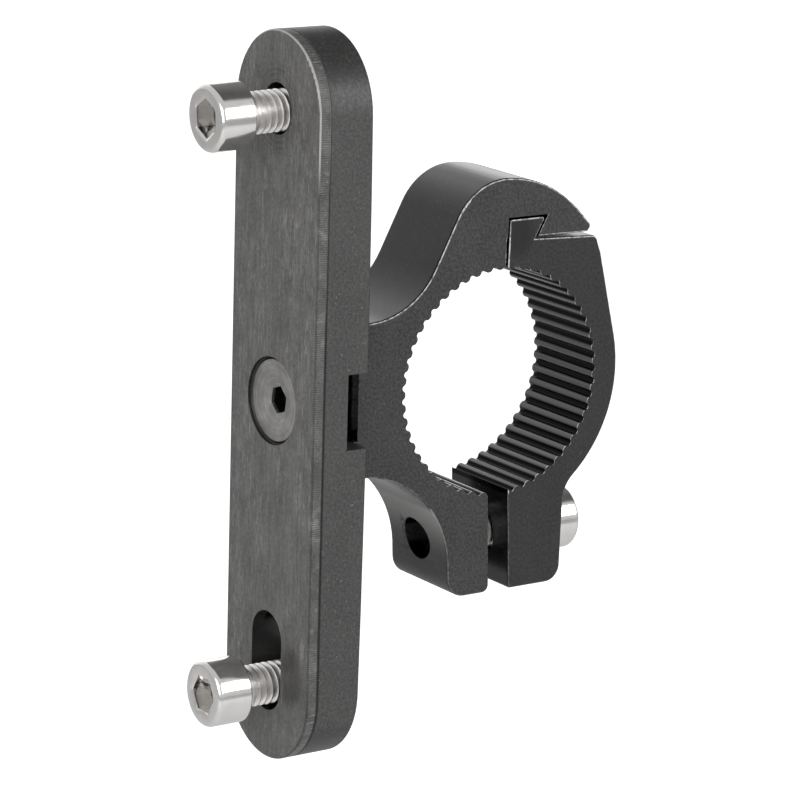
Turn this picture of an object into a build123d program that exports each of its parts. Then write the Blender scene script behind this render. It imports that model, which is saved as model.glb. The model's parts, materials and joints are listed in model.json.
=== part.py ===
from build123d import *
from math import atan, cos, degrees, hypot, radians, sin, tan
import os

# Bottle cage adapter. All sizes in mm.
# X runs from the bar's front face towards the clamp arm, Y along the clamped tube, Z up along the bar.
# The origin is on the tube's axis, half way along the clamp.

os.makedirs("parts", exist_ok=True)

# bar and front plate
bar_width = 18.0
bar_length = 86.0
bar_mid_z = -0.45
front_x = -28.0
plate_thickness = 1.5
bar_thickness = 5.5
back_crown = 0.4
plate_edge_radius = 0.3
bar_edge_radius = 0.35
seam_chamfer = 0.12
back_x = front_x + plate_thickness + bar_thickness
seam_x = front_x + plate_thickness
end_radius = bar_width / 2

# cage screws and their holes: the upper hole shares the round end's centre, so does the slot's lower end
upper_z = bar_mid_z + bar_length / 2 - end_radius
slot_low_z = bar_mid_z - bar_length / 2 + end_radius
slot_run = 5.6
cage_hole_diameter = 6.0
cage_slot_width = 6.4

# M5 screws with small cap heads, and thin square nuts
thread_diameter = 5.0
cap_diameter = 7.8
cap_height = 4.5
cap_edge = 0.6
hex_across_flats = 4.0
hex_depth = 2.6
tip_chamfer = 0.5
nut_across_flats = 8.0
nut_thickness = 2.7
nut_corner = 0.35
thread_clearance = 0.05
threaded_bore = thread_diameter + 2 * thread_clearance
nut_play = 0.125
nut_sunk = 0.15
nut_lift = 0.05
pocket_width = nut_across_flats + 2 * nut_play
pocket_depth = nut_thickness + nut_lift + nut_sunk
cage_screw_length = 12.0
upper_backed_off = 5.0
upper_hex_turn = 27
lower_backed_off = 4.1
lower_hex_turn = 0

# centre screw, flat head with a short straight rim, seated on its countersink
flat_head_diameter = 9.65
flat_head_rim = 0.3
flat_head_sunk = 0.41
flat_head_play = 0.34
flat_head_lift = 0.01
flat_screw_length = 8.0
flat_hex_across_flats = 3.0
flat_hex_depth = 2.0
flat_hex_turn = 40.6
countersink_diameter = flat_head_diameter + 2 * flat_head_play
centre_hole_diameter = 5.5
centre_hole_spare = 0.7

# slot in the bar's side for the centre nut
side_slot_play = 0.45
side_slot_height = nut_across_flats + 2 * side_slot_play
side_slot_front_x = back_x - 2.42
side_slot_back_x = back_x + 1.05
side_slot_end_y = nut_across_flats / 2 + 0.35

# clamp: the serrated bore, and what follows from its radius
clamp_width = 12.0
tooth_tip_radius = 13.5
tooth_depth = 0.43
tooth_count = 53
tooth_phase = 4.0
tooth_land = 0.9
tooth_crown = 0.055
tooth_flank = 0.25
ring_wall = 3.2
profile_edge = 0.3
tooth_notch_radius = tooth_tip_radius + tooth_depth
ring_outer_radius = tooth_notch_radius + ring_wall

# hook above the bore, lugs below it
tongue_height = 5.86
hook_height = 4.97
hook_gap = 0.24
lug_length = 12.3
lug_gap = 2.8
tongue_top_z = tooth_tip_radius + tongue_height
crest_z = tongue_top_z + hook_height
lug_low_z = -tooth_tip_radius - lug_length

# clamp screw
clamp_screw_drop = 6.2
clamp_screw_z = -tooth_tip_radius - clamp_screw_drop
clamp_screw_length = 12.0
clamp_hex_turn = 10
arm_hole_diameter = 6.0
seat_play = 0.4

# corner radii of the clamp's profile
lug_corner_radius = 2.0
ring_foot_radius = 4.2
shoulder_radius = 0.9
flank_radius = 3.0
tongue_corner_radius = 0.3
lug_inner_radius = 0.4
body_lug_inner_radius = 0.9
body_lug_outer_radius = 2.5

# how far a cutter runs past what it cuts
over = 1.0

half = clamp_width / 2


def save(shape, node):
    export_step(shape, f"parts/{node}.step")


def rotated(radius, angle):
    return (radius * cos(radians(angle)), radius * sin(radians(angle)))


def stadium(x0, x1, width, length, mid_z):
    """A bar with round ends, standing along Z, from x0 to x1."""
    outline = SlotOverall(length, width, rotation=90)
    solid = extrude(Plane((x0, 0, mid_z), x_dir=(0, 1, 0), z_dir=(1, 0, 0)) * outline, x1 - x0)
    return solid


def along_x(x0, x1, diameter, z, y=0.0):
    """A round rod along X."""
    plane = Plane((x0, y, z), x_dir=(0, 1, 0), z_dir=(1, 0, 0))
    return extrude(plane * Circle(diameter / 2), x1 - x0)


def slot_along_x(x0, x1, width, low_z, run):
    """A slot cutter along X: round ends, run between the end centres."""
    plane = Plane((x0, 0, low_z + run / 2), x_dir=(0, 1, 0), z_dir=(1, 0, 0))
    return extrude(plane * SlotOverall(run + width, width, rotation=90), x1 - x0)


def end_edges(solid, x):
    """The edges that lie in the plane at x."""
    return [e for e in solid.edges() if abs(e.center().X - x) < 1e-4]


def box_between(x0, x1, y0, y1, z0, z1):
    size = (x1 - x0, y1 - y0, z1 - z0)
    centre = ((x0 + x1) / 2, (y0 + y1) / 2, (z0 + z1) / 2)
    return Pos(*centre) * Box(*size)


def upright_prism(edges):
    """Extrudes a closed XZ outline over the clamp's width."""
    face = make_face(Plane.XZ * Wire(edges))
    return extrude(face, half, both=True)


def toothed_bore():
    """The cutter for the serrated bore: rounded teeth with rounded hollows between them."""
    step = 360 / tooth_count
    crest_reach = step * 0.18
    flank_reach = step * 0.3
    bulge = tooth_tip_radius + tooth_crown
    flank = tooth_tip_radius + tooth_flank
    edges = []
    for k in range(tooth_count):
        tip = tooth_phase + k * step
        flank_a = rotated(flank, tip - flank_reach)
        flank_b = rotated(flank, tip + flank_reach)
        land_a = rotated(tooth_tip_radius, tip - tooth_land / 2)
        land_b = rotated(tooth_tip_radius, tip + tooth_land / 2)
        hollow = rotated(tooth_notch_radius, tip + step / 2)
        edges.append(ThreePointArc(flank_a, rotated(bulge, tip - crest_reach), land_a))
        edges.append(ThreePointArc(land_a, rotated(tooth_tip_radius, tip), land_b))
        edges.append(ThreePointArc(land_b, rotated(bulge, tip + crest_reach), flank_b))
        edges.append(ThreePointArc(flank_b, hollow, rotated(flank, tip + step - flank_reach)))
    face = make_face(Plane.XZ * Wire(edges))
    return extrude(face, half + over, both=True)


# swinging half: hooked tongue, half ring and lug, in the XZ plane
inside_bore = tooth_tip_radius - 2.0
tongue_low = (0.45, inside_bore)
tongue_left = (0.64, tongue_top_z)
tongue_right = (5.80, tongue_top_z)
tongue_waist = (4.40, tongue_top_z - 2.56)
tangent_angle = 13.7
ring_foot_angle = -54.54
tangent_point = rotated(ring_outer_radius, tangent_angle)
ring_foot = rotated(ring_outer_radius, ring_foot_angle)
ring_mid = rotated(ring_outer_radius, (tangent_angle + ring_foot_angle) / 2)
flank_z = tongue_top_z - 5.06
arm_flank = (tangent_point[0] - (flank_z - tangent_point[1]) * tan(radians(tangent_angle)), flank_z)
arm_shoulder = (arm_flank[0] - 0.82, tongue_top_z - 2.94)
lug_seat_x = ring_foot[0] - 0.22
lug_out_low = (lug_seat_x, lug_low_z)
lug_in_top = (1.58, -inside_bore)
lug_in_low = (2.16, lug_low_z)
arm_edges = [
    Line(tongue_low, tongue_left),
    Line(tongue_left, tongue_right),
    Line(tongue_right, tongue_waist),
    Line(tongue_waist, arm_shoulder),
    Line(arm_shoulder, arm_flank),
    Line(arm_flank, tangent_point),
    ThreePointArc(tangent_point, ring_mid, ring_foot),
    Line(ring_foot, lug_out_low),
    Line(lug_out_low, lug_in_low),
    Line(lug_in_low, lug_in_top),
    Line(lug_in_top, tongue_low),
]
arm_outline = make_face(Plane.XZ * Wire(arm_edges))

# fixed half: neck, half ring with the hook, and the threaded lug
neck_top_z = tooth_tip_radius - 4.6
neck_low_z = 4.05 - tooth_tip_radius
top_arc_radius = 10.07
low_arc_radius = 13.1
top_arc = (back_x + 2.3, neck_top_z + top_arc_radius, top_arc_radius)
low_arc = (back_x + 1.15, neck_low_z - low_arc_radius, low_arc_radius)
top_arc_end = -27
inside_x = back_x - 2.0
hump_rise = 6.52
crest = (0.12, crest_z)
hook_side = (ring_outer_radius - 9.4, crest_z - 2.3)
hook_end = (ring_outer_radius - 5.08, tongue_top_z - 1.12)
hook_nose = (ring_outer_radius - 4.72, tongue_top_z - 1.9)
hook_under = (ring_outer_radius - 5.3, tongue_top_z - 2.41)
hook_root = (tongue_low[0] - hook_gap / 2, tongue_top_z - 2.29)
body_lug_in_low = (lug_in_low[0] - lug_gap, lug_low_z)
body_lug_in_top = (lug_in_top[0] - lug_gap, lug_in_top[1])
body_lug_out_low = (low_arc[0] + low_arc_radius + 0.2, lug_low_z)


def on_arc(arc, angle):
    x, z, r = arc
    return (x + r * cos(radians(angle)), z + r * sin(radians(angle)))


hump_foot = on_arc(top_arc, top_arc_end)
hump_slope = (cos(radians(top_arc_end + 90)), sin(radians(top_arc_end + 90)))
hump_start = (hump_foot[0] + hump_rise * hump_slope[0], hump_foot[1] + hump_rise * hump_slope[1])
hump_arc = TangentArc(hump_start, crest, tangent=hump_slope)
side_arc = TangentArc(crest, hook_side, tangent=hump_arc % 1)
hook_arc = TangentArc(hook_side, hook_end, tangent=side_arc % 1)
body_edges = [
    Line((inside_x, neck_top_z), on_arc(top_arc, -90)),
    ThreePointArc(on_arc(top_arc, -90), on_arc(top_arc, top_arc_end / 2 - 45), hump_foot),
    Line(hump_foot, hump_start),
    hump_arc,
    side_arc,
    hook_arc,
    ThreePointArc(hook_end, hook_nose, hook_under),
    Line(hook_under, hook_root),
    Line(hook_root, (hook_root[0], tongue_low[1])),
    Line((hook_root[0], tongue_low[1]), body_lug_in_top),
    Line(body_lug_in_top, body_lug_in_low),
    Line(body_lug_in_low, body_lug_out_low),
    Line(body_lug_out_low, on_arc(low_arc, 0)),
    ThreePointArc(on_arc(low_arc, 0), on_arc(low_arc, 45), on_arc(low_arc, 90)),
    Line(on_arc(low_arc, 90), (inside_x, neck_low_z)),
    Line((inside_x, neck_low_z), (inside_x, neck_top_z)),
]


def upright_edges_at(solid, point, reach=0.08):
    """The edges along Y that pass through an XZ point."""
    return [e for e in solid.edges() if abs(e.center().Y) < 1e-6
            and hypot(e.center().X - point[0], e.center().Z - point[1]) < reach]


def side_edges(solid, keep):
    """The profile's edges on both side faces that lie where keep says."""
    return [e for e in solid.edges() if abs(abs(e.center().Y) - half) < 1e-3 and keep(e.center().X, e.center().Z)]


def outer_side_of_body(x, z):
    upper = z > neck_top_z - over and x < hook_side[0]
    hook = z > hook_nose[1]
    lower = z < neck_low_z + over and x < body_lug_in_low[0] - over
    return x > back_x - over and (upper or hook or lower)


def outer_side_of_arm(x, z):
    return x > lug_seat_x - over / 2 and z < arm_shoulder[1] - over / 5


ring = upright_prism(body_edges)
ring = fillet(upright_edges_at(ring, body_lug_out_low), body_lug_outer_radius)
ring = fillet(upright_edges_at(ring, body_lug_in_low), body_lug_inner_radius)
ring = fillet(side_edges(ring, outer_side_of_body), profile_edge)
ring -= extrude(offset(arm_outline, hook_gap, kind=Kind.INTERSECTION), half + over, both=True)
ring -= toothed_bore()

# bar: its back is slightly crowned, thickest at the neck
bar = stadium(seam_x, back_x + 2 * back_crown, bar_width, bar_length, bar_mid_z)
bar_top, bar_low = (bar_mid_z + bar_length / 2, bar_mid_z - bar_length / 2)
bar_side = [
    ThreePointArc((back_x, bar_top), (back_x + back_crown, bar_mid_z), (back_x, bar_low)),
    Line((back_x, bar_low), (seam_x, bar_low)),
    Line((seam_x, bar_low), (seam_x, bar_top)),
    Line((seam_x, bar_top), (back_x, bar_top)),
]
bar &= extrude(make_face(Plane.XZ * Wire(bar_side)), bar_width, both=True)
bar = fillet(bar.faces().sort_by(Axis.X)[-1].edges(), bar_edge_radius)
bar = chamfer(end_edges(bar, seam_x), seam_chamfer)
clamp_body = bar + ring

# cage screw passages: clearance at the seam, then a pocket that keeps the square nut from turning
clamp_body -= along_x(seam_x - over, back_x + over, cage_hole_diameter, upper_z)
clamp_body -= slot_along_x(seam_x - over, back_x + over, cage_slot_width, slot_low_z, slot_run)
half_pocket = pocket_width / 2
for low, high in ((upper_z - half_pocket, upper_z + half_pocket),
                  (slot_low_z - half_pocket, slot_low_z + slot_run + half_pocket)):
    pocket = box_between(back_x - pocket_depth, back_x + over, -half_pocket, half_pocket, low, high)
    pocket = fillet(pocket.edges().filter_by(Axis.X), nut_corner)
    clamp_body -= pocket

# centre screw: a straight rim, then the countersink runs on from the front plate into the bar
cone_depth = (countersink_diameter - centre_hole_diameter) / 2
cone_x = front_x + flat_head_sunk + flat_head_rim - flat_head_play + flat_head_lift
countersink = Pos(cone_x + cone_depth / 2, 0, bar_mid_z) * Rot(0, 90, 0) * Cone(
    countersink_diameter / 2, centre_hole_diameter / 2, cone_depth)
countersink += along_x(front_x - over, cone_x, countersink_diameter, bar_mid_z)
centre_screw_tip_x = front_x + flat_head_sunk + flat_screw_length
centre_hole = along_x(front_x - over, centre_screw_tip_x + centre_hole_spare, centre_hole_diameter, bar_mid_z)
clamp_body -= countersink
clamp_body -= centre_hole

# square slot from the near side for the centre nut
clamp_body -= box_between(side_slot_front_x, side_slot_back_x, -bar_width, side_slot_end_y,
                          bar_mid_z - side_slot_height / 2, bar_mid_z + side_slot_height / 2)

# threaded hole through the fixed lug
clamp_body -= along_x(low_arc[0], body_lug_in_low[0] + over, threaded_bore, clamp_screw_z)
save(clamp_body, "clamp_body")

# front plate
plate = stadium(front_x, seam_x, bar_width, bar_length, bar_mid_z)
plate = fillet(end_edges(plate, front_x), plate_edge_radius)
plate = chamfer(end_edges(plate, seam_x), seam_chamfer)
plate -= along_x(front_x - over, seam_x + over, cage_hole_diameter, upper_z)
plate -= slot_along_x(front_x - over, seam_x + over, cage_slot_width, slot_low_z, slot_run)
plate -= countersink
plate -= centre_hole
save(plate, "front_plate")

# swinging half
arm = extrude(arm_outline, half, both=True)
for corner, radius in ((lug_out_low, lug_corner_radius), (ring_foot, ring_foot_radius),
                       (arm_shoulder, shoulder_radius), (arm_flank, flank_radius),
                       (tongue_right, tongue_corner_radius), (tongue_left, tongue_corner_radius),
                       (lug_in_low, lug_inner_radius)):
    arm = fillet(upright_edges_at(arm, corner), radius)
arm = fillet(side_edges(arm, outer_side_of_arm), profile_edge)
arm -= toothed_bore()
arm -= along_x(lug_in_top[0] - over, lug_seat_x + over, arm_hole_diameter, clamp_screw_z)
# flat seat under the screw's head
arm -= along_x(lug_seat_x, lug_seat_x + over, cap_diameter + 2 * seat_play, clamp_screw_z)
save(arm, "clamp_arm")


def hex_socket(face_x, z, across_flats, depth, turn, direction=1):
    """The cutter for a hex socket; turn is the angle of one corner, from +Y towards +Z."""
    plane = Plane((face_x, 0, z), x_dir=(0, 1, 0), z_dir=(direction, 0, 0))
    corners = RegularPolygon(across_flats / 2, 6, major_radius=False, rotation=direction * turn)
    return extrude(plane * corners, depth)


def cap_screw(seat_x, z, length, turn, direction=1):
    """A cap screw along X: its head's underside at seat_x, its shank running in direction."""
    face_x = seat_x - direction * cap_height
    tip_x = seat_x + direction * length
    head = along_x(min(seat_x, face_x), max(seat_x, face_x), cap_diameter, z)
    head = fillet(end_edges(head, face_x), cap_edge)
    shank = along_x(min(seat_x, tip_x), max(seat_x, tip_x), thread_diameter, z)
    shank = chamfer(end_edges(shank, tip_x), tip_chamfer)
    return head + shank - hex_socket(face_x, z, hex_across_flats, hex_depth, turn, direction)


def square_nut(x0, z):
    nut = box_between(x0, x0 + nut_thickness, -nut_across_flats / 2, nut_across_flats / 2,
                      z - nut_across_flats / 2, z + nut_across_flats / 2)
    nut = chamfer(nut.edges().filter_by(Axis.X), nut_corner)
    nut -= along_x(x0 - over, x0 + nut_thickness + over, threaded_bore, z)
    return nut


pocket_floor_x = back_x - pocket_depth
cage_nut_x = pocket_floor_x + nut_lift

# the loose upper screw hangs down as far as its play in the nut lets it
droop = degrees(atan(1.8 * thread_clearance / nut_thickness))
nut_middle = (cage_nut_x + nut_thickness / 2, 0, upper_z)
upper_cage_screw = cap_screw(front_x - upper_backed_off, upper_z, cage_screw_length, upper_hex_turn)
upper_cage_screw = Pos(*nut_middle) * Rot(0, -droop, 0) * Pos(*[-v for v in nut_middle]) * upper_cage_screw
save(upper_cage_screw, "upper_cage_screw")
lower_cage_screw = cap_screw(front_x - lower_backed_off, slot_low_z, cage_screw_length, lower_hex_turn)
save(lower_cage_screw, "lower_cage_screw")
clamp_screw = cap_screw(lug_seat_x, clamp_screw_z, clamp_screw_length, clamp_hex_turn, direction=-1)
save(clamp_screw, "clamp_screw")

save(square_nut(cage_nut_x, upper_z), "upper_cage_nut")
save(square_nut(cage_nut_x, slot_low_z), "lower_cage_nut")
centre_nut_x = (side_slot_front_x + side_slot_back_x - nut_thickness) / 2
save(square_nut(centre_nut_x, bar_mid_z), "centre_nut")

# centre screw
flat_x = front_x + flat_head_sunk
flat_cone_x = flat_x + flat_head_rim
flat_cone = (flat_head_diameter - thread_diameter) / 2
centre_screw = Pos(flat_cone_x + flat_cone / 2, 0, bar_mid_z) * Rot(0, 90, 0) * Cone(
    flat_head_diameter / 2, thread_diameter / 2, flat_cone)
centre_screw += along_x(flat_x, flat_cone_x, flat_head_diameter, bar_mid_z)
flat_shank = along_x(flat_cone_x + flat_cone, centre_screw_tip_x, thread_diameter, bar_mid_z)
flat_shank = chamfer(end_edges(flat_shank, centre_screw_tip_x), tip_chamfer)
centre_screw += flat_shank
centre_screw -= hex_socket(flat_x, bar_mid_z, flat_hex_across_flats, flat_hex_depth, flat_hex_turn)
save(centre_screw, "centre_screw")
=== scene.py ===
# %% [markdown]
# A bottle cage adapter: a slim black bar with two cage screws, and a serrated clamp behind it
# that closes round a tube with a hooked arm and one more screw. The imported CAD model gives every
# size and place. This script refines its pieces, cuts real threads and gives each its finish.

# %% Load the frame
import json
from math import atan2, cos, degrees, pi, radians, sin

import bpy
from mathutils import Matrix, Vector

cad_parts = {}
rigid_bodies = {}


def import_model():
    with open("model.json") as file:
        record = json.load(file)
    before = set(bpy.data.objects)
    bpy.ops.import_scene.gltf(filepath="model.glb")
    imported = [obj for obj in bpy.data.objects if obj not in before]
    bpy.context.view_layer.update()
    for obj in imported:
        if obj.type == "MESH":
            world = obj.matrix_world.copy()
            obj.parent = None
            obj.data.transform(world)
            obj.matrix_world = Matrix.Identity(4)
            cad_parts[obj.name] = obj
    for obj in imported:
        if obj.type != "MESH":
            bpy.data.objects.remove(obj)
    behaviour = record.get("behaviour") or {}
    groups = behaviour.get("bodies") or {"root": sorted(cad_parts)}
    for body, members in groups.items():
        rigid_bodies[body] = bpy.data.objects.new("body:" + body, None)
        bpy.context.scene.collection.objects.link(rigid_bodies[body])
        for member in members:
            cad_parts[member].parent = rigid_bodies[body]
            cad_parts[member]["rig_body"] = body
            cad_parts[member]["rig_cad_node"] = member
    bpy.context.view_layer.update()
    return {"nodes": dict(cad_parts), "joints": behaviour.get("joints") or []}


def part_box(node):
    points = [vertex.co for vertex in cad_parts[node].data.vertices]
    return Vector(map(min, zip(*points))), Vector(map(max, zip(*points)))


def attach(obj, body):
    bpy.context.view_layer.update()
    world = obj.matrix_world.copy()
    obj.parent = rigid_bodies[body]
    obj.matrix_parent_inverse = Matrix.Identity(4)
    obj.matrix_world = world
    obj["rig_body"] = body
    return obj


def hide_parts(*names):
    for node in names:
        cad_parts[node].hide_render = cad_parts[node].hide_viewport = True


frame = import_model()
nodes = frame["nodes"]
MM = 0.001


def middle_of(node):
    """The middle of a CAD node's box, in mm."""
    low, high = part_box(node)
    return (low + high) / 2 / MM


# %% [markdown]
# The camera stands before the bar's front corner and a little above it. It is a long lens
# 44 centimetres away, tipped by two degrees. Its axes are worked out from three angles, which
# is easier to read and to correct than a matrix.

# %% Camera
AZIMUTH = radians(-35.7459)
ELEVATION = radians(12.8578)
ROLL = radians(1.9933)
CAMERA_PLACE = Vector((-247.598, -349.703, 102.721)) * MM
LENS = 166.361
FRAME_SHIFT = (-0.1261, -0.0857)

back = Vector((sin(AZIMUTH) * cos(ELEVATION), -cos(AZIMUTH) * cos(ELEVATION), sin(ELEVATION)))
level_right = Vector((cos(AZIMUTH), sin(AZIMUTH), 0))
level_up = back.cross(level_right)
right = level_right * cos(ROLL) + level_up * sin(ROLL)
up = level_up * cos(ROLL) - level_right * sin(ROLL)

camera_data = bpy.data.cameras.new("camera")
camera = bpy.data.objects.new("camera", camera_data)
bpy.context.collection.objects.link(camera)
camera.matrix_world = Matrix.Translation(CAMERA_PLACE) @ Matrix((right, up, back)).transposed().to_4x4()
camera_data.lens = LENS
camera_data.sensor_width = 36
camera_data.shift_x, camera_data.shift_y = FRAME_SHIFT
camera_data.clip_start = 0.01
camera_data.clip_end = 50
bpy.context.scene.camera = camera
bpy.context.scene.view_settings.view_transform = "Standard"
print("camera distance in mm:", round(CAMERA_PLACE.length / MM))

# %% [markdown]
# Modelling with operators works on whatever is selected, so a few small helpers keep the
# selection clear: two pick faces or edges by their place, one applies a modifier, and one drops
# a finished piece into the frame.

# %% Selection helpers
SMOOTH_ANGLE = 30
ops = bpy.ops


def only(piece):
    """Make this piece the only selected and the active one."""
    if bpy.context.mode != "OBJECT":
        ops.object.mode_set(mode="OBJECT")
    ops.object.select_all(action="DESELECT")
    piece.select_set(True)
    bpy.context.view_layer.objects.active = piece


def edit(mode="VERT"):
    """Open the active piece in edit mode with nothing selected."""
    ops.object.mode_set(mode="EDIT")
    ops.mesh.select_mode(type=mode)
    ops.mesh.select_all(action="DESELECT")


def pick_faces(test):
    """Select the faces whose middle passes the test, and nothing else."""
    ops.object.mode_set(mode="OBJECT")
    mesh = bpy.context.object.data
    for group in (mesh.polygons, mesh.edges, mesh.vertices):
        group.foreach_set("select", [False] * len(group))
    for face in mesh.polygons:
        face.select = test(face.center)
    ops.object.mode_set(mode="EDIT")
    ops.mesh.select_mode(type="FACE")


def pick_edges(test):
    """Select the edges whose middle passes the test, and nothing else."""
    ops.object.mode_set(mode="OBJECT")
    mesh = bpy.context.object.data
    for group in (mesh.polygons, mesh.edges, mesh.vertices):
        group.foreach_set("select", [False] * len(group))
    for edge in mesh.edges:
        one, other = (mesh.vertices[index].co for index in edge.vertices)
        edge.select = test((one + other) / 2)
    ops.object.mode_set(mode="EDIT")
    ops.mesh.select_mode(type="EDGE")


def apply_modifier(piece, kind, **settings):
    """Add one modifier with these settings and apply it at once."""
    only(piece)
    modifier = piece.modifiers.new(kind.lower(), kind)
    for key, value in settings.items():
        setattr(modifier, key, value)
    ops.object.modifier_apply(modifier=modifier.name)


def place(piece, name, body, material):
    """Name a finished piece, settle its place in its mesh and hang it on its body."""
    only(piece)
    ops.object.transform_apply(location=True, rotation=True, scale=True)
    ops.object.shade_smooth_by_angle(angle=radians(SMOOTH_ANGLE))
    apply_modifier(piece, "WEIGHTED_NORMAL", mode="FACE_AREA", weight=100, keep_sharp=True)
    piece.name = name
    piece.data.name = name
    piece.data.materials.clear()
    piece.data.materials.append(material)
    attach(piece, body)
    print(name, "has", len(piece.data.polygons), "faces")


# %% [markdown]
# A material is a small graph. These helpers add its nodes and wires in one line each, so that
# a finish reads as a recipe: what varies, over how many millimetres, and how much.

# %% Material helpers
class Finish:
    """One Principled material and the pattern nodes that feed it."""

    def __init__(self, name, **surface):
        self.material = bpy.data.materials.new(name)
        self.material.use_nodes = True
        self.tree = self.material.node_tree
        self.shader = self.tree.nodes["Principled BSDF"]
        self.place = self.node("ShaderNodeTexCoord").outputs["Object"]
        for key, value in surface.items():
            self.set(key, value)

    def node(self, kind, **settings):
        made = self.tree.nodes.new(kind)
        for key, value in settings.items():
            setattr(made, key, value)
        return made

    def wire(self, source, target):
        self.tree.links.new(source, target)

    def feed(self, socket, value):
        """Give a socket a number, a colour or another node's output."""
        if isinstance(value, bpy.types.NodeSocket):
            self.wire(value, socket)
        else:
            socket.default_value = value

    def set(self, key, value):
        self.feed(self.shader.inputs[key], value)

    def stretched(self, x=1, y=1, z=1):
        """Object coordinates in mm, each axis divided by its grain length in mm."""
        mapping = self.node("ShaderNodeMapping")
        mapping.inputs["Scale"].default_value = (1 / (x * MM), 1 / (y * MM), 1 / (z * MM))
        self.wire(self.place, mapping.inputs["Vector"])
        return mapping.outputs["Vector"]

    def noise(self, vector, detail=2, roughness=0.5, distortion=0):
        made = self.node("ShaderNodeTexNoise")
        made.inputs["Scale"].default_value = 1
        made.inputs["Detail"].default_value = detail
        made.inputs["Roughness"].default_value = roughness
        made.inputs["Distortion"].default_value = distortion
        self.wire(vector, made.inputs["Vector"])
        return made.outputs["Fac"]

    def between(self, value, low, high, to_low=0, to_high=1, smooth=True):
        """Map low..high to to_low..to_high, clamped."""
        made = self.node("ShaderNodeMapRange", interpolation_type="SMOOTHSTEP" if smooth else "LINEAR")
        self.feed(made.inputs["Value"], value)
        for key, number in (("From Min", low), ("From Max", high), ("To Min", to_low), ("To Max", to_high)):
            made.inputs[key].default_value = number
        return made.outputs["Result"]

    def math(self, kind, a, b=0):
        made = self.node("ShaderNodeMath", operation=kind)
        for socket, value in zip(made.inputs, (a, b)):
            self.feed(socket, value)
        return made.outputs["Value"]

    def times(self, first, *others):
        for other in others:
            first = self.math("MULTIPLY", first, other)
        return first

    def plus(self, first, *others):
        for other in others:
            first = self.math("ADD", first, other)
        return first

    def distance(self, a, b):
        """How far a point lies from the axis, from its two coordinates across that axis."""
        return self.math("SQRT", self.plus(self.times(a, a), self.times(b, b)))

    def dimmed(self, shade, mask, share):
        """The shade, brought down to this share of itself where the mask is 1."""
        return self.times(shade, self.between(mask, 0, 1, 1, share, smooth=False))

    def combine(self, x, y, z):
        made = self.node("ShaderNodeCombineXYZ")
        for socket, value in zip(made.inputs, (x, y, z)):
            self.feed(socket, value)
        return made.outputs["Vector"]

    def rgb(self, value):
        """A very slightly warm grey from one number."""
        made = self.node("ShaderNodeCombineColor")
        for socket, share in zip(made.inputs, (1.02, 1, 0.98)):
            self.wire(self.times(value, share), socket)
        return made.outputs["Color"]

    def mix(self, share, a, b):
        made = self.node("ShaderNodeMix", data_type="RGBA")
        self.feed(made.inputs["Factor"], share)
        self.feed(made.inputs["A"], a)
        self.feed(made.inputs["B"], b)
        return made.outputs["Result"]

    def bump(self, height, strength, distance, under=None):
        made = self.node("ShaderNodeBump")
        made.inputs["Strength"].default_value = strength
        made.inputs["Distance"].default_value = distance * MM
        self.wire(height, made.inputs["Height"])
        if under is not None:
            self.wire(under, made.inputs["Normal"])
        return made.outputs["Normal"]

    def axes(self):
        """The place's x, y and z in mm, as three outputs."""
        scaled = self.stretched()
        made = self.node("ShaderNodeSeparateXYZ")
        self.wire(scaled, made.inputs["Vector"])
        return made.outputs["X"], made.outputs["Y"], made.outputs["Z"]

    def facing(self):
        """How far the surface faces along x, y and z, each from 0 to 1."""
        made = self.node("ShaderNodeSeparateXYZ")
        self.wire(self.node("ShaderNodeTexCoord").outputs["Normal"], made.inputs["Vector"])
        return [self.math("ABSOLUTE", made.outputs[axis]) for axis in "XYZ"]

    def spot(self, a, b, centre, reach):
        """1 inside an ellipse round a centre in mm, fading to 0 at one and a half times its reach."""
        parts = []
        for value, middle, size in zip((a, b), centre, reach):
            offset = self.math("DIVIDE", self.math("SUBTRACT", value, middle), size)
            parts.append(self.times(offset, offset))
        return self.between(self.plus(*parts), 0.3, 2.2, 1, 0)

    def scratches(self, tilt, length, width, rarity):
        """Sparse thin lines across the XZ faces, tilted from Z by an angle in degrees."""
        mapping = self.node("ShaderNodeMapping", vector_type="TEXTURE")
        mapping.inputs["Rotation"].default_value = (0, radians(tilt), 0)
        mapping.inputs["Scale"].default_value = (width * MM, 2.5 * MM, length * MM)
        self.wire(self.place, mapping.inputs["Vector"])
        return self.between(self.noise(mapping.outputs["Vector"], detail=1), rarity, rarity + 0.05)


def grey(level, warm=0.0):
    """A linear grey, very slightly warm if asked."""
    return (level * (1 + warm), level, level * (1 - warm), 1)


# %% [markdown]
# The black parts are one kind of aluminium with one black coat. They look different by how they
# were cut and handled, and by light and shade painted into their colour. The clamp's side faces
# are blasted matt and its outside is drawn smooth, with a pale lip between them that is part wear
# and part painted highlight. The teeth have painted highlights on their crests and painted shade in
# their hollows, the walls of holes and slots are painted near black as shade, the lug is painted
# lighter as a painted reflection and the arm's tongue is painted darker as shade. The bar's front
# plate has long streaks from brushing, rings where a washer has turned, a rubbed place beside the
# lower screw and fine milling lines on its edge, with painted shade and a painted highlight on its
# rim. All places are in mm along the frame's own axes.

# %% Black clamp and bar
UPPER_HOLE_Z = middle_of("upper_cage_nut").z
LUG_HOLE_Z = middle_of("clamp_screw").z
LUG_HOLE_RADIUS = 2.6
LUG_BACK = -4.5
LUG_TOP = -14
BAR_BACK = -20.7
CLAMP_LIP = 5.9
BORE_WALL = 14.2
TOOTH_CREST = 13.5
TOOTH_HOLLOW = 13.64
HOOK = (3, 19)
TONGUE = (2.0, 17.4)


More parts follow.
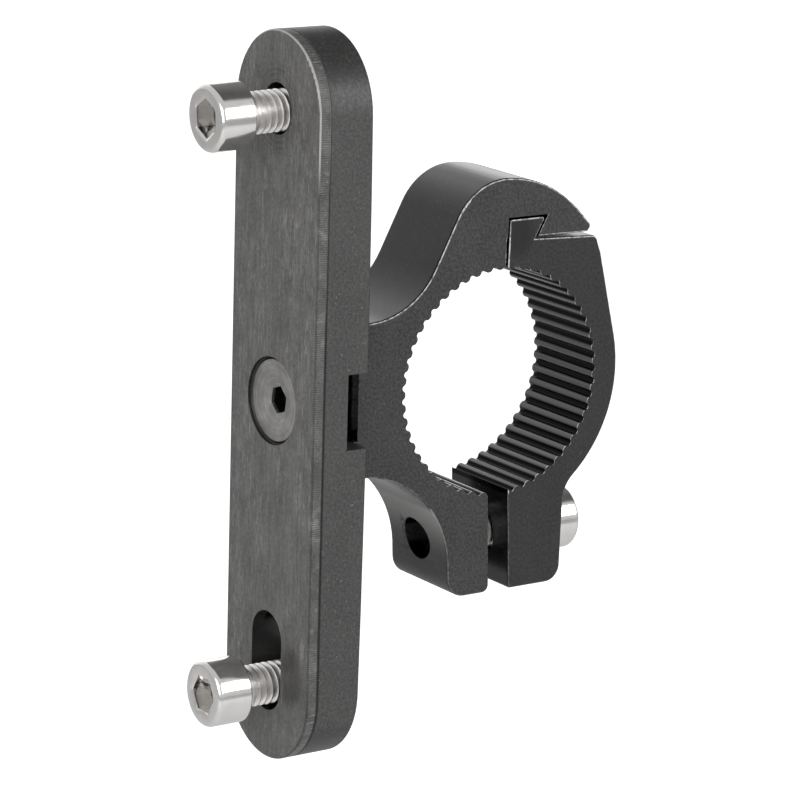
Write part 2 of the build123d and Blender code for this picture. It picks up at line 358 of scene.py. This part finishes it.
def matt_black(finish, level, spread=0.6):
    """Cloudy matt black with a fine grain and a few pale specks; gives the shade and its grain."""
    cloud = finish.noise(finish.stretched(3.5, 3.5, 5), detail=4, roughness=0.6)
    grain = finish.noise(finish.stretched(0.3, 0.3, 0.34), detail=3)
    speck = finish.between(finish.noise(finish.stretched(0.24, 0.24, 0.24), detail=0), 0.81, 0.86)
    shade = finish.plus(finish.between(cloud, 0.3, 0.7, 0.85, 1.15),
                        finish.between(grain, 0.3, 0.7, -spread, spread))
    return finish.plus(finish.times(shade, level), finish.times(speck, 0.1)), grain


def inner_walls(finish, y, z):
    """1 over the part of the bar that holds its holes and slots, 0 along its edges and ends."""
    across = finish.between(finish.math("ABSOLUTE", y), 5.6, 5.8, 1, 0)
    lengthwise = finish.between(finish.math("ABSOLUTE", z), 39.2, 39.8, 1, 0)
    return finish.times(across, lengthwise)


def body_marks(finish, level, side, wall, shade, rough, dark):
    """What only the body has: a lighter, matter bar with rubs, a lug painted lighter towards its fillet as
    a painted reflection, a burred hole, and painted shade on the inner walls and in the lug's hole.
    """
    x, y, z = finish.axes()
    bar = finish.between(x, BAR_BACK - 0.1, BAR_BACK + 0.1, 1, 0)
    shade = finish.plus(shade, finish.times(bar, level * 0.75))
    rubs = finish.times(finish.scratches(1, 1.4, 0.09, 0.72), bar, side)
    shade = finish.plus(shade, finish.times(rubs, 0.05))
    rough = finish.math("MAXIMUM", rough, finish.times(bar, 0.42))

    lug = finish.times(finish.between(x, LUG_BACK - 0.5, LUG_BACK, 1, 0),
                       finish.between(z, LUG_TOP - 1, LUG_TOP, 1, 0))
    from_hole = finish.distance(y, finish.math("SUBTRACT", z, LUG_HOLE_Z))
    in_hole = finish.between(from_hole, LUG_HOLE_RADIUS - 0.05, LUG_HOLE_RADIUS + 0.05, 1, 0)
    hole = finish.times(lug, wall, in_hole)
    # painted reflection: the lug's outer walls are painted lighter, most near its fillet
    lug = finish.math("MAXIMUM", finish.times(finish.math("SUBTRACT", lug, bar), wall), 0)
    shade = finish.plus(shade, finish.times(lug, finish.between(z, -21, -14.2, 0.03, 0.25)))
    rough = finish.plus(rough, finish.times(lug, 0.2))
    ragged = finish.between(finish.noise(finish.stretched(0.5, 0.35, 0.35), detail=3), 0.46, 0.5)
    burr = finish.spot(y, z, (LUG_HOLE_RADIUS, LUG_HOLE_Z + 0.6), (0.55, 1.7))
    shade = finish.times(shade, finish.between(finish.times(burr, ragged, lug), 0, 1, 1, 0.1))

    # painted shade: the walls of the bar's holes and slots, and of the lug's hole, are painted near black
    inner_shade = finish.times(inner_walls(finish, y, z), bar)
    shade = finish.dimmed(shade, inner_shade, 0.15)
    dark = finish.math("MAXIMUM", finish.math("MAXIMUM", dark, hole), finish.times(inner_shade, wall))
    return shade, rough, dark


def clamp_black(name, level, arm=False):
    """The clamp's black: matt sides, smooth outside, a pale lip that is part wear and part painted
    highlight, painted highlights on the tooth crests and painted shade in the tooth hollows.
    """
    finish = Finish(name, IOR=1.5)
    x, y, z = finish.axes()
    side = finish.between(finish.facing()[1], 0.85, 0.97)
    wall = finish.math("SUBTRACT", 1, side)
    # dark marks the walls inside the bore, which get painted shade; the holes and inner walls are added to
    # it further on
    radius = finish.distance(x, z)
    near_bore = finish.between(radius, BORE_WALL - 0.05, BORE_WALL + 0.05, 1, 0)
    dark = finish.times(near_bore, wall)

    shade, grain = matt_black(finish, level)
    nicks = finish.times(finish.scratches(52, 1.7, 0.07, 0.77), side, finish.spot(x, z, HOOK, (7, 5)))
    shade = finish.plus(shade, finish.times(nicks, 0.06))
    shade = finish.math("SUBTRACT", shade, finish.times(wall, level * 0.8))
    shade = finish.math("MAXIMUM", shade, 0.002)
    rough = finish.between(side, 0, 1, 0.22, 0.46, smooth=False)
    if arm:
        # painted shade: the tongue is painted darker
        tongue = finish.spot(x, z, TONGUE, (1.8, 2.2))
        shade = finish.dimmed(shade, tongue, 0.3)
        rough = finish.math("SUBTRACT", rough, finish.times(tongue, 0.08))
    else:
        shade, rough, dark = body_marks(finish, level, side, wall, shade, rough, dark)

    # the pale lip along the profile edge and the tooth ends is part wear and part painted highlight,
    # brighter higher up
    worn_lip_and_highlight = finish.between(finish.math("ABSOLUTE", y), CLAMP_LIP - 0.02, CLAMP_LIP + 0.03)
    worn_lip_and_highlight = finish.times(worn_lip_and_highlight, wall, finish.between(x, BAR_BACK + 0.6, BAR_BACK + 0.8))
    worn = finish.between(finish.noise(finish.stretched(0.5, 0.5, 0.5), detail=2), 0.35, 0.6, 0.25, 1)
    tooth_ends = finish.between(radius, BORE_WALL - 0.1, BORE_WALL + 0.1, 1, 0)
    profile = finish.between(z, LUG_TOP, -2, 0.12, 0.75)
    worn_lip_and_highlight = finish.times(worn_lip_and_highlight, worn, finish.math("MAXIMUM", tooth_ends, profile))
    # painted highlight on the tooth crests and painted shade in their hollows, put into the colour; dark
    # makes it metallic and near black there
    teeth = finish.mix(finish.between(radius, TOOTH_CREST, TOOTH_HOLLOW), grey(0.13), grey(0.004))
    black = finish.mix(dark, finish.rgb(shade), teeth)
    finish.set("Base Color", finish.mix(worn_lip_and_highlight, black, grey(0.9)))
    finish.set("Metallic", dark)
    finish.set("Roughness", rough)
    finish.set("Normal", finish.bump(finish.times(grain, side), 0.4, 0.012))
    return finish.material


# %% Black front plate
RING_STEP = 0.62
MILLING_STEP = 0.26
RUBBED_PLACE = (-5.3, -32.4)
BRIGHT_PLACE = (-7.6, -28.4)
SEAM_X = -26.7


def front_plate_black(name, level):
    """Brushed black with washer rings, a rubbed place, a milled edge, painted shade on the rim and inner
    walls, and a painted highlight on the rim round the top.
    """
    finish = Finish(name, IOR=1.5)
    x, y, z = finish.axes()
    face = finish.facing()[0]
    wall = finish.math("SUBTRACT", 1, finish.between(face, 0.7, 0.95))

    # brushing, with pale patches and short nicks that come and go
    shade, grain = matt_black(finish, level, 0.2)
    streak = finish.noise(finish.stretched(3, 0.34, 3.6), detail=4, roughness=0.7, distortion=0.5)
    pale = finish.noise(finish.stretched(3, 0.5, 2.0), detail=4, roughness=0.65, distortion=0.8)
    cloud = finish.noise(finish.stretched(6, 4, 9), detail=2)
    worn = finish.times(finish.between(pale, 0.48, 0.72), finish.between(cloud, 0.4, 0.6, 0.1, 1))
    shade = finish.times(shade, finish.between(streak, 0.3, 0.7, 0.76, 1.28))
    shade = finish.plus(shade, finish.times(worn, level))
    nicks = finish.between(finish.noise(finish.stretched(3, 0.11, 1.4), detail=1), 0.67, 0.72)
    nicks = finish.times(nicks, finish.between(cloud, 0.4, 0.6, 0.25, 1))
    shade = finish.plus(shade, finish.times(nicks, level * 1.1))

    # rings round the upper hole
    radius = finish.distance(y, finish.math("SUBTRACT", z, UPPER_HOLE_Z))
    ring = finish.between(finish.math("SINE", finish.times(radius, 2 * pi / RING_STEP)), -0.2, 0.9)
    near_hole = finish.between(radius, 4.4, 6.0, 1, 0)
    patchy = finish.between(finish.noise(finish.stretched(2, 1.6, 1.6), detail=2), 0.4, 0.6)
    shade = finish.dimmed(shade, finish.times(ring, near_hole, patchy), 0.62)

    # the rubbed place beside the lower screw, and a bright spot above it
    mottle = finish.noise(finish.stretched(1, 0.5, 1.2), detail=3)
    rubbed = finish.spot(y, z, RUBBED_PLACE, (1.9, 3.0))
    rubbed = finish.times(rubbed, finish.between(mottle, 0.35, 0.6, 0.75, 1))
    shade = finish.dimmed(shade, rubbed, 0.3)
    bright = finish.spot(y, z, BRIGHT_PLACE, (0.4, 1.2))
    bright = finish.times(bright, finish.between(mottle, 0.4, 0.65, 0.3, 1))
    shade = finish.plus(shade, finish.times(bright, 0.12))

    # milling lines on the edge, a dark seam behind them, and painted shade that makes the inner walls near
    # black
    uneven = finish.noise(finish.stretched(2, 2, 1.3), detail=3)
    waves = finish.plus(finish.times(z, 2 * pi / MILLING_STEP), finish.times(grain, 4))
    lines = finish.times(finish.math("SINE", waves), finish.between(uneven, 0.35, 0.65, 0.3, 1))
    edge_lines = finish.times(wall, lines)
    shade = finish.times(shade, finish.between(edge_lines, -1, 1, 0.5, 1.25, smooth=False))
    seam = finish.times(finish.between(x, SEAM_X - 0.15, SEAM_X), finish.between(z, 8, 15, 1, 0.3))
    # the inner walls are painted near black as shade
    dark = finish.times(wall, finish.math("MAXIMUM", seam, inner_walls(finish, y, z)))
    shade = finish.dimmed(shade, dark, 0.1)

    # the rim between face and edge: painted shade along it, and a painted highlight round the top
    rim = finish.times(finish.between(face, 0.2, 0.5), finish.between(face, 0.85, 0.97, 1, 0))
    shade = finish.dimmed(shade, rim, 0.5)
    shade = finish.plus(shade, finish.times(rim, finish.between(z, 24, 30), 0.3))
    finish.set("Base Color", finish.rgb(shade))
    finish.set("Roughness", finish.between(rubbed, 0, 1, 0.45, 0.33, smooth=False))
    streaky = finish.bump(streak, 0.25, 0.03)
    finish.set("Normal", finish.bump(finish.times(edge_lines, 0.5), 0.5, 0.02, streaky))
    return finish.material


# %% Bright plate and plain steel
def polished_plate(name, head_end, way):
    """Bright plate, duller on the thread, which starts at head_end in mm and runs this way along X."""
    finish = Finish(name, Metallic=1.0)
    x = finish.axes()[0]
    thread = finish.between(x, head_end - 0.15, head_end + 0.15, *((0, 1) if way > 0 else (1, 0)))
    cloud = finish.noise(finish.stretched(1.5, 1.5, 1.5), detail=3)
    level = finish.between(cloud, 0.3, 0.7, 0.74, 0.8)
    finish.set("Base Color", finish.rgb(finish.plus(level, finish.times(thread, 0.18))))
    rough = finish.between(cloud, 0.3, 0.7, 0.1, 0.16)
    finish.set("Roughness", finish.plus(rough, finish.times(thread, 0.2)))
    fine = finish.noise(finish.stretched(0.35, 0.35, 0.35), detail=2)
    finish.set("Normal", finish.bump(fine, 0.12, 0.01))
    return finish.material


def turned_steel(name, node):
    """Dull grey steel with the rings of the tool that faced it, round the middle of a node, painted near
    black as shade deep in the hex socket.
    """
    finish = Finish(name, Metallic=0.85)
    x, y, z = finish.axes()
    head_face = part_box(node)[0].x / MM
    radius = finish.distance(y, finish.math("SUBTRACT", z, middle_of(node).z))
    ring = finish.noise(finish.combine(finish.times(radius, 7), 0, 0), detail=3)
    cloud = finish.noise(finish.stretched(1.4, 1.4, 1.4), detail=3)
    shade = finish.times(finish.between(ring, 0.3, 0.7, 0.24, 0.36),
                         finish.between(cloud, 0.3, 0.7, 0.85, 1.15))
    # painted shade: deep in the socket the colour is near black
    out_of_socket = finish.math("MAXIMUM", finish.between(x, head_face + 0.7, head_face + 1.1, 1, 0),
                                finish.between(radius, 1.8, 1.9))
    finish.set("Base Color", finish.mix(out_of_socket, grey(0.012), finish.rgb(shade)))
    finish.set("Roughness", finish.between(cloud, 0.3, 0.7, 0.42, 0.55))
    finish.set("Normal", finish.bump(ring, 0.3, 0.015))
    return finish.material


def plain_steel(name):
    finish = Finish(name, Metallic=1.0)
    cloud = finish.noise(finish.stretched(0.8, 0.8, 0.8), detail=3)
    finish.set("Base Color", finish.mix(cloud, grey(0.42, 0.03), grey(0.6, 0.02)))
    finish.set("Roughness", finish.between(cloud, 0.3, 0.7, 0.25, 0.4))
    return finish.material


body_black = clamp_black("body_black", 0.029)
plate_black = front_plate_black("plate_black", 0.094)
arm_black = clamp_black("arm_black", 0.014, arm=True)
centre_steel = turned_steel("centre_steel", "centre_screw")
nut_steel = plain_steel("nut_steel")

# %% [markdown]
# The machined pieces keep the CAD shape. A copy of each is merged into one skin, its flat
# triangles are joined into whole faces, and a bevel of a tenth of a millimetre takes the dead
# sharp edge off, which is what catches the light on real anodised parts.

# %% Machined pieces
EDGE = 0.1


def machined(node, name, body, material):
    """Put a copy of a CAD node, with broken edges, in the node's place."""
    source = nodes[node]
    piece = source.copy()
    piece.data = source.data.copy()
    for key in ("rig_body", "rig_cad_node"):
        del piece[key]
    piece.parent = None
    bpy.context.collection.objects.link(piece)
    only(piece)
    ops.mesh.customdata_custom_splitnormals_clear()
    edit()
    ops.mesh.select_all(action="SELECT")
    ops.mesh.remove_doubles(threshold=0.001 * MM)
    ops.mesh.dissolve_limited(angle_limit=radians(0.4))
    ops.object.mode_set(mode="OBJECT")
    apply_modifier(piece, "BEVEL", width=EDGE * MM, segments=2, limit_method="ANGLE",
                   angle_limit=radians(32), use_clamp_overlap=True, harden_normals=False)
    place(piece, name, body, material)
    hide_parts(node)


machined("clamp_body", "body_piece", "frame", body_black)
machined("front_plate", "plate_piece", "frame", plate_black)
machined("clamp_arm", "arm_piece", "arm", arm_black)
for nut in ("upper_cage_nut", "centre_nut"):
    machined(nut, nut + "_piece", "frame", nut_steel)
machined("lower_cage_nut", "lower_cage_nut_piece", "lower_nut", nut_steel)

# %% [markdown]
# A thread is one long ridge wound round a core. Its flat outline is drawn once, the Screw
# modifier winds it up with the thread's pitch, and the loose ends are closed. The points are
# then held inside the screw's own outline, which runs the thread out under the head and at
# the chamfered tip. A ridge made this way keeps its crest sharp and even all the way round.

# %% Thread
PITCH = 0.8
CREST = 2.46
ROOT = 2.04
SUNK = 0.06
WIND_STEPS = 56


def thread_ridge(low, high):
    """A closed M5 ridge along Z from low to high, in mm, with its foot sunk in the core."""
    foot = ROOT - SUNK
    turns = (high - low) / PITCH - 1
    outline = ((foot, 0.04), (ROOT, 0.06), (CREST, 0.33), (CREST, 0.45), (ROOT, 0.72), (foot, 0.74))
    mesh = bpy.data.meshes.new("ridge")
    points = [(radius * MM, 0, (low + height) * MM) for radius, height in outline]
    mesh.from_pydata(points, [(k, (k + 1) % len(points)) for k in range(len(points))], [])
    ridge = bpy.data.objects.new("ridge", mesh)
    bpy.context.collection.objects.link(ridge)
    apply_modifier(ridge, "SCREW", angle=turns * 2 * pi, screw_offset=turns * PITCH * MM,
                   steps=round(turns * WIND_STEPS), render_steps=round(turns * WIND_STEPS),
                   use_merge_vertices=False)
    edit("EDGE")
    ops.mesh.select_non_manifold()
    ops.mesh.fill_holes(sides=0)
    ops.mesh.select_all(action="SELECT")
    ops.mesh.normals_make_consistent(inside=False)
    ops.object.mode_set(mode="OBJECT")
    return ridge


def hold_inside(piece, outline):
    """Pull points in to the radius that outline gives for their height, in mm."""
    for vertex in piece.data.vertices:
        limit = outline(vertex.co.z / MM)
        radius = vertex.co.xy.length / MM
        if radius > limit:
            vertex.co.x *= limit / radius
            vertex.co.y *= limit / radius


def join(main, other):
    """Join two closed skins that pass into each other into one piece."""
    only(main)
    other.select_set(True)
    ops.object.join()


# %% [markdown]
# A cap screw starts as its core, a plain cylinder. The end face is extruded out into the head,
# which gets its rounded rim by a bevel, and then in and down for the hex socket. The socket has
# six flats, so its ring of points is pulled from a circle to a hexagon.

# %% Screw body
CAP_RADIUS = 3.9
CAP_HEIGHT = 4.5
CAP_ROUND = 0.6
CAP_FACE_RADIUS = 3.0
CAP_UNDERSIDE = 0.2
HEX_APOTHEM = 2.0
HEX_DEPTH = 2.6
SIDES = 96
RUN_OUT = 1.0
TIP_CHAMFER = 0.55
CORE_CHAMFER = TIP_CHAMFER - 0.1
LEAD = 0.14


def outwards(radius, start_radius):
    """Extrude the selected face flat, out or in to a new radius."""
    ops.mesh.extrude_region_move()
    scale = radius / start_radius
    ops.transform.resize(value=(scale, scale, 1))


def along(distance):
    """Extrude the selected face along Z by a distance in mm."""
    ops.mesh.extrude_region_move(TRANSFORM_OT_translate={"value": (0, 0, distance * MM)})


def to_hexagon(apothem, height, reach):
    """Pull one ring of points, at this height and radius, to a hexagon with a corner on +X."""
    for vertex in bpy.context.object.data.vertices:
        radius = vertex.co.xy.length / MM
        if abs(vertex.co.z / MM - height) < 0.001 and abs(radius - reach) < 0.01:
            angle = degrees(atan2(vertex.co.y, vertex.co.x)) % 60
            new = apothem / cos(radians(angle - 30))
            vertex.co.x *= new / radius
            vertex.co.y *= new / radius


def hex_socket(face, apothem, depth, outer, lead_depth=LEAD):
    """Sink a socket into the selected face at height face, whose radius is outer."""
    corner = apothem / cos(radians(30))
    outwards(corner + lead_depth, outer)
    outwards(corner, corner + lead_depth)
    ops.transform.translate(value=(0, 0, lead_depth * MM))
    ops.object.mode_set(mode="OBJECT")
    to_hexagon(apothem, face + lead_depth, corner)
    ops.object.mode_set(mode="EDIT")
    along(depth - lead_depth)
    outwards(apothem * 0.3, apothem)
    ops.transform.translate(value=(0, 0, 0.4 * MM))


def core(length):
    """The thread's core, a closed cylinder along Z from 0 to length with its far end chamfered."""
    ops.mesh.primitive_cylinder_add(vertices=SIDES, radius=ROOT * MM, depth=length * MM,
                                    location=(0, 0, length / 2 * MM))
    piece = bpy.context.object
    only(piece)
    ops.object.transform_apply(location=True, rotation=True, scale=True)
    edit("EDGE")
    pick_edges(lambda c: abs(c.z / MM - length) < 0.001)
    ops.mesh.bevel(offset=CORE_CHAMFER * MM, segments=1)
    ops.object.mode_set(mode="OBJECT")
    return piece


def lay_along(piece, start, heading, turn):
    """Turn a screw from Z onto its heading, a hex corner at this angle from +Y towards +Z."""
    corner = Vector((0, cos(radians(turn)), sin(radians(turn))))
    side = heading.cross(corner).normalized()
    axes = Matrix((side.cross(heading), side, heading)).transposed().to_4x4()
    piece.matrix_world = Matrix.Translation(start * MM) @ axes


def finish_screw(piece, node, body, length, start, heading, turn, coat):
    """Wind the thread round the core, lay the screw in its place and hang it on its body."""
    ridge = thread_ridge(-0.35, length + 0.3)
    hold_inside(ridge, lambda z: ROOT + max(0, z) * RUN_OUT)
    hold_inside(ridge, lambda z: CREST - TIP_CHAMFER + length - z)
    hold_inside(ridge, lambda z: ROOT - 0.2 if z > length - 0.02 else CREST)
    join(piece, ridge)
    lay_along(piece, start, heading, turn)
    place(piece, node + "_piece", body, coat)
    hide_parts(node)


def cap_screw(node, body, heading, through, turn):
    """A cap screw in place of its CAD node, on the axis that runs through this point."""
    levels = [vertex.co.dot(heading) / MM for vertex in nodes[node].data.vertices]
    length = max(levels) - min(levels) - CAP_HEIGHT
    head_face = through + heading * (min(levels) - through.dot(heading))
    piece = core(length)
    edit("FACE")
    pick_faces(lambda c: abs(c.z) < 1e-6)
    outwards(CAP_RADIUS, ROOT)
    along(-CAP_HEIGHT)
    outwards(CAP_FACE_RADIUS, CAP_RADIUS)
    hex_socket(-CAP_HEIGHT, HEX_APOTHEM, HEX_DEPTH, CAP_FACE_RADIUS)
    pick_edges(lambda c: abs(c.z / MM + CAP_HEIGHT) < 0.001 and c.xy.length > (CAP_RADIUS - 0.05) * MM)
    ops.mesh.bevel(offset=CAP_ROUND * MM, segments=6, profile=0.5)
    pick_edges(lambda c: abs(c.z) < 1e-6 and c.xy.length > (CAP_RADIUS - 0.05) * MM)
    ops.mesh.bevel(offset=CAP_UNDERSIDE * MM, segments=2, profile=0.5)
    ops.object.mode_set(mode="OBJECT")
    start = head_face + heading * CAP_HEIGHT
    coat = polished_plate(node + "_plate", start.x, heading.x)
    finish_screw(piece, node, body, length, start, heading, turn, coat)


# %% Cap screws
travel = {joint["child"]: Vector(joint["axis"]) for joint in frame["joints"] if joint["type"] == "slide"}
for node, body, held_by, turn in (("upper_cage_screw", "upper_screw", "upper_cage_nut", 27),
                                  ("lower_cage_screw", "lower_screw", "lower_cage_screw", 0),
                                  ("clamp_screw", "clamp_screw", "clamp_screw", 10)):
    cap_screw(node, body, travel[body], middle_of(held_by), turn)

# %% [markdown]
# The centre screw holds the plate on the bar. Its flat head lies just under the plate's face and
# is dished by the tool that turned it. The head's cone and the thread run on behind it.

# %% Centre screw
FLAT_RADIUS = 4.825
FLAT_RIM = 0.3
LAND_RADIUS = 3.6
SLOPE_RADIUS = 2.4
SLOPE_DEPTH = 0.35
DISH_RADIUS = 2.0
DISH_DEPTH = 0.5
CENTRE_HEX_APOTHEM = 1.5
CENTRE_HEX_DEPTH = 1.8
CENTRE_LEAD = 0.08
CENTRE_TURN = 40.6

low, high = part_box("centre_screw")
cone_end = FLAT_RIM + FLAT_RADIUS - ROOT
flat_length = (high.x - low.x) / MM - cone_end
centre_screw = core(flat_length)
edit("FACE")
pick_faces(lambda c: abs(c.z) < 1e-6)
along(ROOT - FLAT_RADIUS)
ops.transform.resize(value=(FLAT_RADIUS / ROOT, FLAT_RADIUS / ROOT, 1))
along(-FLAT_RIM)
outwards(LAND_RADIUS, FLAT_RADIUS)
outwards(SLOPE_RADIUS, LAND_RADIUS)
ops.transform.translate(value=(0, 0, SLOPE_DEPTH * MM))
outwards(DISH_RADIUS, SLOPE_RADIUS)
ops.transform.translate(value=(0, 0, (DISH_DEPTH - SLOPE_DEPTH) * MM))
hex_socket(DISH_DEPTH - cone_end, CENTRE_HEX_APOTHEM, CENTRE_HEX_DEPTH, DISH_RADIUS, CENTRE_LEAD)
pick_edges(lambda c: abs(c.z / MM + cone_end) < 0.001 and c.xy.length > (FLAT_RADIUS - 0.05) * MM)
ops.mesh.bevel(offset=0.1 * MM, segments=3, profile=0.5)
ops.object.mode_set(mode="OBJECT")
start = middle_of("centre_screw")
start.x = low.x / MM + cone_end
finish_screw(centre_screw, "centre_screw", "frame", flat_length, start, Vector((1, 0, 0)), CENTRE_TURN,
             centre_steel)

# %% [markdown]
# The light is a white tent that is brighter behind the part, with one dark panel high behind it,
# a wide soft lamp in front on the right and a square one in front on the left. The dark panel
# gives the bright screw heads the band that makes them read as metal. The camera sees the tent as
# plain white. The floor lies well below, because the part is held by its clamp.

# %% World
BRIGHT_SIDE = (0.6, 0.8, 0)
DARK_PANEL = (0.562, 0.252, 0.788)

world = bpy.data.worlds.new("studio")
bpy.context.scene.world = world
world.use_nodes = True
tree = world.node_tree
background = tree.nodes["Background"]
light_path = tree.nodes.new("ShaderNodeLightPath")
where = tree.nodes.new("ShaderNodeTexCoord")


def tent_level(direction, low, high, to_low, to_high, kind="LINEAR"):
    """A level that follows how far the tent lies in this direction, from low to high."""
    towards = tree.nodes.new("ShaderNodeVectorMath")
    towards.operation = "DOT_PRODUCT"
    towards.inputs[1].default_value = direction
    tree.links.new(where.outputs["Generated"], towards.inputs[0])
    made = tree.nodes.new("ShaderNodeMapRange")
    made.interpolation_type = kind
    for key, number in (("From Min", low), ("From Max", high), ("To Min", to_low), ("To Max", to_high)):
        made.inputs[key].default_value = number
    tree.links.new(towards.outputs["Value"], made.inputs["Value"])
    return made.outputs["Result"]


level = tree.nodes.new("ShaderNodeMath")
level.operation = "MULTIPLY"
tree.links.new(tent_level(DARK_PANEL, 0.74, 0.84, 1, 0.17, "SMOOTHSTEP"), level.inputs[0])
tree.links.new(tent_level(BRIGHT_SIDE, 0.3, 1, 0.65, 1.45), level.inputs[1])
mixer = tree.nodes.new("ShaderNodeMix")
mixer.data_type = "RGBA"
mixer.inputs["B"].default_value = (1, 1, 1, 1)
tree.links.new(level.outputs["Value"], mixer.inputs["A"])
tree.links.new(light_path.outputs["Is Camera Ray"], mixer.inputs["Factor"])
tree.links.new(mixer.outputs["Result"], background.inputs["Color"])
background.inputs["Strength"].default_value = 1


# %% Lamps and floor
def soft_lamp(name, place_mm, aim_mm, size_mm, watts):
    """A wide area lamp at a place, turned towards its aim."""
    data = bpy.data.lights.new(name, "AREA")
    data.shape = "RECTANGLE"
    data.size, data.size_y = (side * MM for side in size_mm)
    data.energy = watts
    lamp = bpy.data.objects.new(name, data)
    bpy.context.collection.objects.link(lamp)
    lamp.location = Vector(place_mm) * MM
    lamp.rotation_mode = "QUATERNION"
    lamp.rotation_quaternion = (Vector(aim_mm) - Vector(place_mm)).to_track_quat("-Z", "Y")


soft_lamp("front_lamp", (150, -330, 150), (-10, 0, 0), (400, 200), 0.7)
soft_lamp("left_lamp", (-300, -120, 80), (-20, 0, 0), (200, 200), 0.45)

FLOOR_Z = -110
ops.mesh.primitive_plane_add(size=8, location=(0, 0, FLOOR_Z * MM))
floor = bpy.context.object
floor.name = "floor"
paint = Finish("floor_paint", Roughness=0.9)
paint.set("Base Color", grey(0.8))
rays = paint.node("ShaderNodeLightPath")
paint.set("Emission Color", grey(1))
paint.set("Emission Strength", paint.math("MULTIPLY", rays.outputs["Is Camera Ray"], 0.75))
floor.data.materials.append(paint.material)
